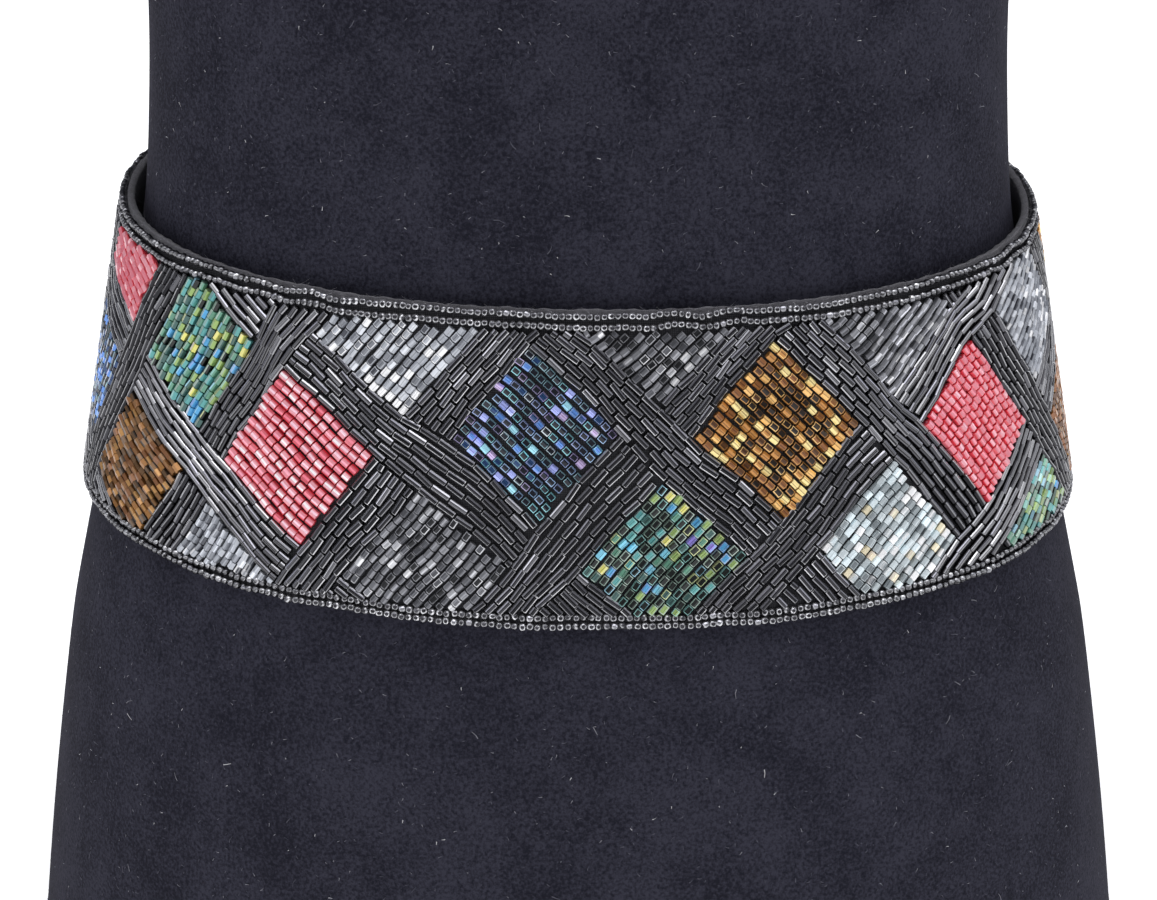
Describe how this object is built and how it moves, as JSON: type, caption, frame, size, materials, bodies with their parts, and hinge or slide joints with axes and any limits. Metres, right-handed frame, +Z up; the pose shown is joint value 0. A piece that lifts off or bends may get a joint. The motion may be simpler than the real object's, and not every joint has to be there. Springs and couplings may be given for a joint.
{
  "type": "beaded belt on a dress form",
  "caption": "Wide contoured belt covered in glass beads, a black bugle lattice round coloured diamonds, lapped at the back, on a limbless velvet dress form.",
  "frame": {"origin": "middle of the dress form's flat base, on the surface that it stands on", "axes": "+Z up the form, -Y the way the belt's front faces, +X to the right seen from the front"},
  "size_m": [0.356, 0.251, 0.805],
  "materials": {
    "form_velvet": "black velvet cover, short pile",
    "lining_felt": "charcoal felt lining",
    "black_bugles": "gunmetal black glass bugle beads on black cloth",
    "edging_seeds": "gunmetal seed beads",
    "closure_tape": "black hook-and-loop tape",
    "red_beads": "red lustre cut beads",
    "gold_beads": "metallic gold and brown cut beads",
    "bronze_beads": "metallic dark bronze cut beads",
    "blue_beads": "iridescent dark blue cut beads",
    "green_beads": "iridescent green cut beads",
    "silver_beads": "silver cut beads",
    "pearl_beads": "iridescent white silver cut beads",
    "hematite_beads": "dark grey metallic cut beads"
  },
  "bodies": {
    "root": {"dress_form": "form_velvet", "lining": "lining_felt", "beaded_panel": "black_bugles", "closure_tape": "closure_tape", "bottom_edging_outer": "edging_seeds", "bottom_edging_inner": "edging_seeds", "top_edging_inner": "edging_seeds", "top_edging_outer": "edging_seeds", "diamond_01_silver": "silver_beads", "diamond_02_blue": "blue_beads", "diamond_03_hematite": "hematite_beads", "diamond_04_gold": "gold_beads", "diamond_05_blue": "blue_beads", "diamond_06_green": "green_beads", "diamond_07_silver": "silver_beads", "diamond_08_bronze": "bronze_beads", "diamond_09_blue": "blue_beads", "diamond_10_red": "red_beads", "diamond_11_bronze": "bronze_beads", "diamond_12_green": "green_beads", "diamond_13_silver": "silver_beads", "diamond_14_red": "red_beads", "diamond_15_silver": "silver_beads", "diamond_16_hematite": "hematite_beads", "diamond_17_blue": "blue_beads", "diamond_18_hematite": "hematite_beads", "diamond_19_green": "green_beads", "diamond_20_gold": "gold_beads", "diamond_21_pearl": "pearl_beads", "diamond_22_hematite": "hematite_beads", "diamond_23_red": "red_beads", "diamond_24_green": "green_beads", "diamond_25_silver": "silver_beads", "diamond_26_gold": "gold_beads", "diamond_27_gold": "gold_beads", "diamond_28_hematite": "hematite_beads", "diamond_29_red": "red_beads", "diamond_30_green": "green_beads", "diamond_31_hematite": "hematite_beads", "diamond_32_blue": "blue_beads", "diamond_33_gold": "gold_beads", "diamond_34_green": "green_beads"}
  },
  "joints": []
}
